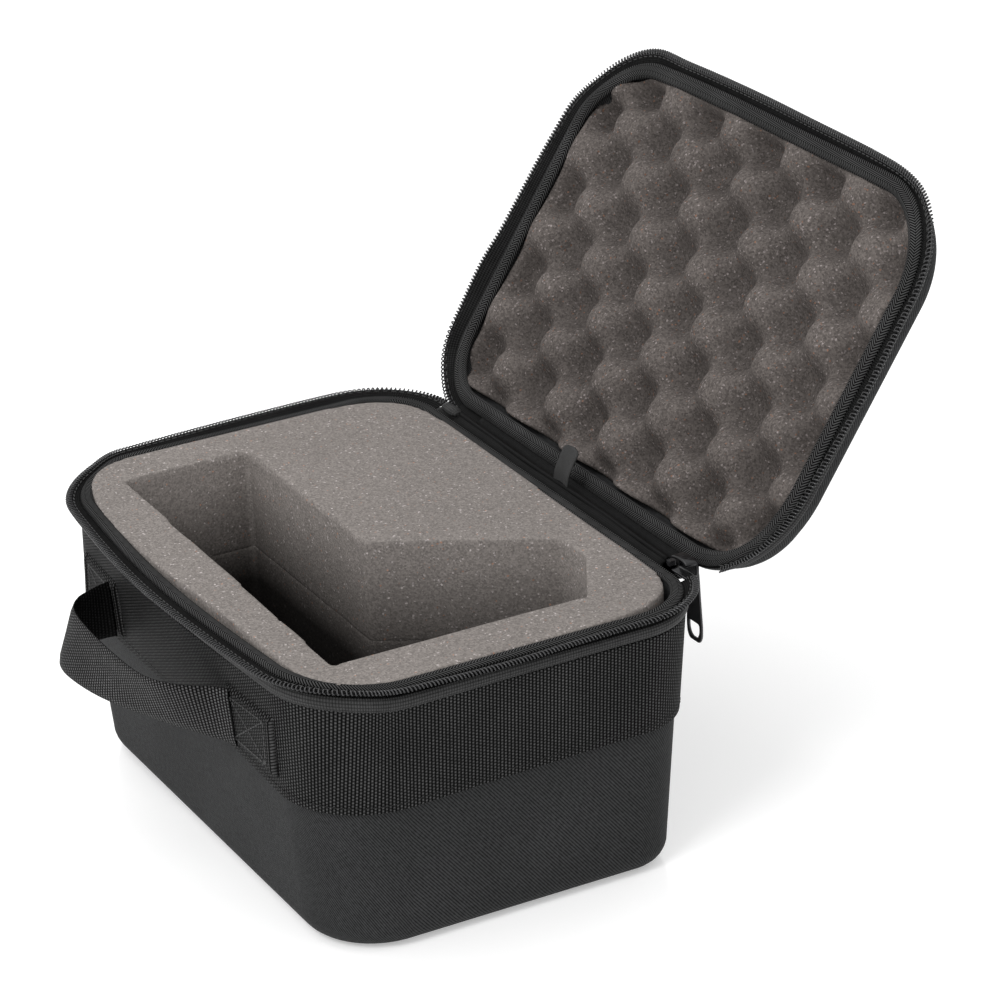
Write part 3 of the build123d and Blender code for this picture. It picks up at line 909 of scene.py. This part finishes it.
def lid_foam_piece():
    """The lid's egg-crate foam, made of rows across the lid, each as wide as the outline is there."""
    half_x, half_y = 120.6 * MM, 77.5 * MM
    rows, columns = 121, 181
    crowd = np.sin(np.linspace(-math.pi / 2, math.pi / 2, rows))
    depth = half_y * (0.6 * np.linspace(-1, 1, rows) + 0.4 * crowd)
    share = np.linspace(-1, 1, columns)
    face = np.zeros((rows, columns, 2))
    for row, y in zip(face, depth):
        radius = 33 * MM if y < 0 else 17 * MM
        inside = max(0.0, abs(y) - (half_y - radius))
        width = half_x - radius + math.sqrt(max(0.0, radius ** 2 - inside ** 2))
        wander = 0.9 * MM * math.cos(2 * math.pi * (y + 14 * MM) / (40 * MM))
        row[:, 0] = share * (width + wander * np.abs(share) ** 3)
        row[:, 1] = y * (1 if y < 0 else 0.98)
    x, y = face[..., 0], face[..., 1]
    left_front = ease(1 - np.minimum(half_x + x, half_y + y) / (6 * MM))
    right_rear = ease(1 - np.minimum(half_x - x, half_y - y) / (6 * MM))
    up = crate_height(x, y) * (1 - 0.7 * left_front) * (1 - 0.3 * right_rear)
    across, along = np.arange(columns), np.arange(rows)
    edge_x = np.minimum(across, across[::-1])[None, :] * (2 * half_x / columns)
    edge_y = np.minimum(along, along[::-1])[:, None] * (2 * half_y / rows)
    near = np.clip(1 - np.minimum(edge_x, edge_y) / (2.2 * MM), 0, 1)
    up = up + MOUTH + CRATE_PEAK + near ** 2 * 1.2 * MM
    points = flexed(np.dstack([face, up]), LID_SOFT).reshape(-1, 3)
    faces, _ = grid_faces(rows, columns, False, False)
    place = np.arange(rows * columns).reshape(rows, columns)
    rim = np.concatenate([place[0], place[1:, -1], place[-1, -2::-1], place[-2:0:-1, 0]])
    back = np.array(points[rim])
    back[:, 2] = LID_TOP - WALL - 0.2 * MM
    behind = np.arange(len(points), len(points) + len(rim))
    faces.extend(np.stack([rim, np.roll(rim, -1), np.roll(behind, -1), behind], axis=1).tolist())
    faces.append(behind.tolist())
    piece = piece_from("lid_foam_sheet", np.vstack([points, back]), faces, None, crate_foam)
    settle(open_lid(piece), "lid", "lid_foam", "lid_foam")


# ---- handle ----
STRAP_WIDE, STRAP_THICK = 24.5 * MM, 1.6 * MM
HANDLE_UP = sum(corner.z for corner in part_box("handle_strap")) / 2
# The strap's lower and upper edges as seen from above, in millimetres.
STRAP_LOW = (
    (-55.5, -83.2), (-56.4, -87.5), (-55.6, -96), (-52.5, -107), (-44, -112.5), (-30, -113.6),
    (-8, -110), (17, -101), (38, -91.5), (51, -85.2), (57.5, -83.3),
)
STRAP_HIGH = (
    (-55, -85.2), (-54.2, -89), (-51.4, -95.5), (-48, -101), (-41, -105.8), (-28, -108.3),
    (0, -109.3), (28, -107.5), (43, -100), (51.5, -89.8), (57.5, -85.3),
)
PATCH_START, PATCH_END = 53 * MM, 88 * MM
SLOPE = math.atan(DRAFT)
UP_WALL = np.array([0.0, -math.sin(SLOPE), math.cos(SLOPE)])
OUT_OF_WALL = np.array([0.0, -math.cos(SLOPE), -math.sin(SLOPE)])


def strap_piece():
    """The free webbing loop: its long edges follow different curves, so it twists as it bows."""
    count, wide = 110, 9
    low = smooth_line(STRAP_LOW, count) * MM
    high = smooth_line(STRAP_HIGH, count) * MM
    share = np.linspace(0, 1, wide)
    middle = low[:, None] * (1 - share[None, :, None]) + high[:, None] * share[None, :, None]
    ahead = np.gradient(middle, axis=0)
    normal = np.stack([ahead[..., 1], -ahead[..., 0]], axis=-1)
    normal /= np.linalg.norm(normal, axis=-1)[..., None]
    crown = STRAP_THICK / 2 * (1 - 0.75 * np.abs(2 * share - 1) ** 8)
    up = HANDLE_UP + (share - 0.5) * STRAP_WIDE
    bulge = normal * crown[None, :, None]
    height = np.tile(up[:, None], (count, 1, 1))
    front = np.concatenate([middle + bulge, height], axis=2)
    rear = np.concatenate([middle - bulge, height], axis=2)
    rings = np.concatenate([front, rear[:, ::-1]], axis=1)
    along = distances((low + high) / 2)
    side = up - up[0]
    across = np.concatenate([side, side[::-1] + INNER_FACE, side[:1] + INNER_FACE])
    piece = swept("handle_webbing", rings, strap_weave, along, across, False)
    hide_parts("handle_strap", "handle_root_left", "handle_root_right")
    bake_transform(piece)
    return piece


def on_band(side, x, up, out):
    """A place on the band's front: away from its middle, up from the strap's middle, and outwards."""
    place = np.array([0.0, -(HALF_Y + lean(RIM - HANDLE_UP)), HANDLE_UP])
    return place + np.array([side * x, 0, 0]) + UP_WALL * up + OUT_OF_WALL * (BAND_THICK + out)


def patch_piece(side, name):
    """A sewn end: doubled webbing with a folded bead at its outer end."""
    stations = (
        (PATCH_START - 1.2 * MM, 0.3), (PATCH_START - 0.4 * MM, 1.4), (PATCH_START + 1.5 * MM, 1.9),
        (60 * MM, 2.0), (70 * MM, 1.95), (80 * MM, 2.0), (84.6 * MM, 1.9), (85.4 * MM, 2.0), (86 * MM, 2.4),
        (86.8 * MM, 2.6), (87.6 * MM, 2.2), (PATCH_END, 1.2), (PATCH_END + 0.2 * MM, 0.2),
    )
    share = np.linspace(-1, 1, 17)
    ups = share * STRAP_WIDE / 2
    edge = 1 - 0.75 * np.abs(share) ** 14
    rings = []
    for x, thick in stations:
        top = [on_band(side, x, up, thick * MM * e) for up, e in zip(ups, edge)]
        foot = [on_band(side, x, up, -0.3 * MM) for up in ups]
        rings.append(flexed(np.array(top + foot[::-1]), BASE_SOFT))
    along = np.array([x for x, _ in stations])
    across = there_and_back(ups + STRAP_WIDE / 2)
    patch = swept("handle_patch_" + name, rings, patch_weave, along, across, False)
    settle(patch, "base", "webbing", "handle_end_" + name)


def patch_sewing(side, name):
    """The box-and-cross stitching of a sewn end."""
    left, right, half = PATCH_START + 3 * MM, PATCH_END - 5.6 * MM, STRAP_WIDE / 2 - 3.4 * MM
    corners = np.array([(left, -half), (right, -half), (right, half), (left, half)])
    threads = []
    for first, last in ((0, 1), (1, 2), (2, 3), (3, 0), (0, 2), (1, 3)):
        start, run = corners[first], corners[last] - corners[first]
        length = np.linalg.norm(run)
        count = max(2, round(length / (2.6 * MM)))
        way = (np.array([side * run[0], 0, 0]) + UP_WALL * run[1]) / length
        for t in (np.arange(count) + 0.5) / count:
            centre = flexed(on_band(side, *(start + run * t), 2.02 * MM), BASE_SOFT)
            threads.append((centre, way, length / count * 0.86))
    sewing = stitches("handle_sewing_" + name, threads, 0.34 * MM, thread_cloth)
    settle(sewing, "base", "thread", "handle_stitch_" + name)


# ---- hinge, ribbon and zip ends ----
# The cloths' profiles from the base's rim to the lid's: depth and height in millimetres.
HINGE_LINE = (
    (84.0, 111.3), (86.0, 113.4), (88.3, 113.9), (91.0, 111.8), (93.6, 109.4), (96.4, 109.0), (98.6, 110.2),
)
WEB_LINE = ((83.0, 111.2), (86.2, 108.2), (90.5, 106.3), (95.5, 106.5), (100.2, 109.2))
# The web stops short of the slider at its right end, and reaches past the zip's end at its left.
WEB_LEFT, WEB_RIGHT = -113 * MM, 89 * MM


def ribbon_solid(name, line, thick, x_low, x_high, steps, material, sag=0.0):
    """A strip of cloth: a line in depth and height, carried along x, with a slight wander."""
    line = np.array(line)
    ahead = np.gradient(line, axis=0)
    normal = np.stack([-ahead[:, 1], ahead[:, 0]], axis=1)
    normal /= np.linalg.norm(normal, axis=1)[:, None]
    section = np.vstack([line + normal * thick / 2, (line - normal * thick / 2)[::-1]])
    middle = np.sin(np.linspace(0, math.pi, len(line)))
    share = np.concatenate([middle, middle[::-1]])
    rings = []
    places = np.linspace(x_low, x_high, steps)
    for x in places:
        droop = sag * (0.6 + 0.4 * math.sin(x * 95 + 0.7) * math.sin(x * 41))
        rings.append([(x, y, z - droop * part) for (y, z), part in zip(section, share)])
    return swept(name, rings, material, places, there_and_back(distances(line)), False)


def hinge_sheet(name, line, thick, x_low, x_high, steps, sag):
    """A cloth that goes from the base's rim to the lid's."""
    cloth = ribbon_solid(name, line, thick, x_low, x_high, steps, hinge_cloth, sag)
    return cloth


def hinge_fabric_piece():
    low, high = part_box("hinge_strip")
    line = smooth_line(HINGE_LINE, 25) * MM
    strip = hinge_sheet("hinge_fabric", line, 1.0 * MM, low.x, high.x, 60, 0.8 * MM)
    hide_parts("hinge_strip")
    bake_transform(strip)


def hinge_web_piece():
    """The inner cloth that closes the gap below the hinge fabric."""
    line = smooth_line(WEB_LINE, 19) * MM
    web = hinge_sheet("hinge_web", line, 0.8 * MM, WEB_LEFT, WEB_RIGHT, 70, 0.3 * MM)
    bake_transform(web)


def hinge_bead_piece():
    low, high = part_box("hinge_strip")
    line = [(x, 0.0880 + 0.3 * MM * math.sin(x * 60), 0.1140) for x in np.linspace(low.x, high.x, 80)]
    settle(tube_piece("hinge_bead", line, 1.1 * MM, 10, hinge_cloth), "base", "piping_cloth")


def ribbon_piece():
    """The ribbon: curled across its width, with its end's corners rounded off."""
    low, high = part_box("ribbon_tab")
    wide, middle = high.x - low.x, (high.x + low.x) / 2
    line = smooth_line(((87.9, 114.2), (88.9, 119.0), (91.4, 124.0), (94.2, 128.6)), 14) * MM
    share = np.linspace(-1, 1, 9)
    rings = []
    for k, (y, z) in enumerate(line):
        t = k / (len(line) - 1)
        half = wide / 2 * math.sqrt(1 - max(0.0, t - 0.92) ** 2 / 0.012)
        front = [(middle + half * s, y + 0.35 * MM * math.cos(s * math.pi), z) for s in share]
        rings.append(front + [(x, y2 + 0.6 * MM, z2 - 0.2 * MM) for x, y2, z2 in front[::-1]])
    across = there_and_back(np.linspace(0, wide, 9))
    ribbon = swept("ribbon_loop", rings, ribbon_cloth, distances(line), across, False)
    settle(ribbon, "base", "ribbon", "ribbon_tab")


def end_cover_piece():
    """The fabric wrap over the zip's left end: a soft capsule with a pinched end."""
    low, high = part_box("zip_end_cover")
    centre, size = (low + high) / 2, (high - low) / 2
    turn = np.linspace(0, 2 * math.pi, 16, endpoint=False)
    rings = []
    for t in np.linspace(-1, 1, 17):
        width = max(0.08, (1 - abs(t) ** 4) ** 0.5) * (1 + 0.05 * math.sin(5 * t))
        across, up = size.y * width * np.cos(turn), size.z * width * np.sin(turn)
        x = np.full(len(turn), centre.x + size.x * t)
        rings.append(np.column_stack([x, centre.y + across, centre.z + up]))
    along = np.linspace(low.x, high.x, len(rings))
    girth = distances(rings[len(rings) // 2], True)
    piece = swept("zip_end_wrap", rings, piping_cloth, along, girth, False)
    settle(piece, "base", "piping_cloth", "zip_end_cover")


# ---- slider ----
CORNER_X, CORNER_Y = HALF_X - CORNER, HALF_Y - CORNER
SLIDER_ANGLE = math.radians(92)
SLIDER_OUTER = 37.4 * MM
SLIDER_LOW, SLIDER_HIGH = (corner.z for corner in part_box("slider_body"))


def round_corner(radius, angle, up):
    return (CORNER_X + radius * math.cos(angle), CORNER_Y + radius * math.sin(angle), up)


def placed(x_way, y_way, z_way, place):
    """The matrix that turns the axes to three directions and moves the origin to a place."""
    turned = Matrix((x_way, y_way, z_way)).transposed().to_4x4()
    return Matrix.Translation(place) @ turned


def slider_shell_piece():
    """The slider's body: a channel bent to the corner, pinched towards its ends."""
    half = math.radians(9.5)
    inner, wall = 32 * MM, 1.2 * MM
    low, high = SLIDER_LOW, SLIDER_HIGH
    corners = [
        (inner, low), (SLIDER_OUTER, low), (SLIDER_OUTER, high), (inner, high), (inner, high - wall),
        (SLIDER_OUTER - wall, high - wall), (SLIDER_OUTER - wall, low + wall), (inner, low + wall),
    ]
    section = rounded(corners, 0.9 * MM, 4)
    middle = (low + high) / 2
    rings = []
    for t in np.linspace(-1, 1, 15):
        pinch = 1 - 0.16 * abs(t) ** 3
        angle = SLIDER_ANGLE + half * t
        rings.append([round_corner(r, angle, middle + (z - middle) * pinch) for r, z in section])
    along = np.linspace(0, 2 * half * SLIDER_OUTER, len(rings))
    body = swept("slider_shell", rings, slider_black, along, distances(section, True), False)
    settle(body, "slider", "slider_metal", "slider_body")


def slider_loop_piece():
    """The bridge that holds the pull: a bent wire, twice as wide as it is thick."""
    jut, rise, inset = 2.4 * MM, 2.6 * MM, 0.2 * MM
    middle = (SLIDER_LOW + SLIDER_HIGH) / 2
    line = np.array([
        round_corner(SLIDER_OUTER - inset + jut * math.cos(a), SLIDER_ANGLE, middle + rise * math.sin(a))
        for a in np.radians(np.linspace(-90, 90, 17))
    ])
    rings = tube(line, 0.55 * MM, 10)
    rings[..., 0] += rings[..., 0] - line[:, None, 0]
    bridge = swept("slider_loop", rings, slider_black, distances(line), distances(rings[0], True), False)
    settle(bridge, "slider", "slider_metal", "slider_bridge")


def pull_piece():
    """The pull: a flat leaf that widens downwards, with an eye at the top and a ring-shaped foot."""
    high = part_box("pull_tab")[1]
    thick = 0.9 * MM
    leaf = [
        (-3.2, 0.0), (3.2, 0.0), (3.9, 4.5), (4.3, 12.0), (5.3, 24.5), (5.1, 28.8), (3.6, 31.6),
        (-3.6, 31.6), (-5.1, 28.8), (-5.3, 24.5), (-4.3, 12.0), (-3.9, 4.5),
    ]
    eye = [(-1.6, 0.9), (1.6, 0.9), (1.6, 4.4), (-1.6, 4.4)]
    ring = [(-3.7, 23.6), (3.7, 23.6), (3.6, 27.4), (2.0, 30.0), (-2.0, 30.0), (-3.6, 27.4)]
    work = bmesh.new()
    for line in (rounded(leaf, 1.6, 4), rounded(eye, 0.7, 3), rounded(ring, 1.5, 4)):
        verts = [work.verts.new((x * MM, -y * MM, 0)) for x, y in line]
        for k in range(len(verts)):
            work.edges.new((verts[k], verts[(k + 1) % len(verts)]))
    bmesh.ops.triangle_fill(work, edges=work.edges[:], use_beauty=True, use_dissolve=False)
    grown = bmesh.ops.extrude_face_region(work, geom=work.faces[:])
    top = [v for v in grown["geom"] if isinstance(v, bmesh.types.BMVert)]
    bmesh.ops.translate(work, vec=(0, 0, thick), verts=top)
    mesh = mesh_from(work, "pull_leaf")
    sine, cosine = math.sin(SLIDER_ANGLE), math.cos(SLIDER_ANGLE)
    head = round_corner(38.2 * MM - thick / 2, SLIDER_ANGLE, high.z)
    mesh.transform(placed((-sine, cosine, 0), (0, 0, 1), (cosine, sine, 0), head))
    mesh.materials.append(pull_grey)
    piece = linked("pull_leaf", mesh)
    bevel = piece.modifiers.new("edges", "BEVEL")
    bevel.width = 0.22 * MM
    bevel.segments = 3
    bevel.limit_method = "ANGLE"
    bevel.angle_limit = math.radians(50)
    apply_modifiers(piece)
    settle(piece, "pull", "pull_metal", "pull_tab")


# ---- make everything ----
base_shell_piece()
lid_shell_piece()
band_piece()
band_stitches()
piping_pieces()
for name in ("base", "lid"):
    tape_pieces(name)
    coil_piece(name)
    coil_sewing(name)
foam_pieces()
lid_foam_piece()
strap_piece()
for hand, name in ((-1, "left"), (1, "right")):
    patch_piece(hand, name)
    patch_sewing(hand, name)
hinge_fabric_piece()
hinge_web_piece()
hinge_bead_piece()
ribbon_piece()
end_cover_piece()
slider_shell_piece()
slider_loop_piece()
pull_piece()

stop = frame["nodes"]["zip_end_stop"]
stop.data.materials.clear()
stop.data.materials.append(coil_nylon)


# ---- camera, floor and light ----
CAMERA_PLACE = (1.33031, -0.61884, 0.77725)
CAMERA_RIGHT = (0.47260618, 0.88012803, -0.04492266)
CAMERA_UP = (-0.33875911, 0.22849049, 0.91270716)
CAMERA_BACK = (0.81356356, -0.41613309, 0.40613741)

camera_data = bpy.data.cameras.new("camera")
camera_data.sensor_width = 36
camera_data.lens = 148.65
camera_data.clip_end = 20
camera = linked("camera", camera_data)
camera.matrix_world = placed(CAMERA_RIGHT, CAMERA_UP, CAMERA_BACK, CAMERA_PLACE)
bpy.context.scene.camera = camera

floor_mesh = bpy.data.meshes.new("floor")
floor_mesh.from_pydata([(-6, -6, 0), (6, -6, 0), (6, 6, 0), (-6, 6, 0)], [], [(0, 1, 2, 3)])
floor = linked("floor", floor_mesh)
floor_look = Surface("floor_white", roughness=0.14, specular=1.0)
floor_tone = floor_look.mix(floor_look.noise(3.0), grey(0.90), grey(0.93))
floor_look.shader.inputs["Emission Color"].default_value = (1, 1, 1, 1)
floor_look.shader.inputs["Emission Strength"].default_value = 0.34
floor_mesh.materials.append(floor_look.finish(floor_tone, floor_look.noise(40.0), 0.01 * MM, 0.1))

world = bpy.data.worlds.new("studio")
world.use_nodes = True
backdrop = world.node_tree.nodes["Background"]
backdrop.inputs[0].default_value = (1, 1, 1, 1)
backdrop.inputs[1].default_value = 0.85
bpy.context.scene.world = world
bpy.context.scene.view_settings.view_transform = "Standard"


def soft_light(name, place, aim, size, power):
    data = bpy.data.lights.new(name, "AREA")
    data.shape = "RECTANGLE"
    data.size, data.size_y = size
    data.energy = power
    light = linked(name, data)
    light.location = place
    light.rotation_mode = "QUATERNION"
    light.rotation_quaternion = (Vector(aim) - Vector(place)).to_track_quat("-Z", "Y")


soft_light("overhead", (-0.45, -0.1, 1.45), (0, 0, 0.1), (1.2, 1.2), 6)
soft_light("key", (0.65, -1.1, 1.45), (0, 0, 0.1), (0.6, 0.6), 13)
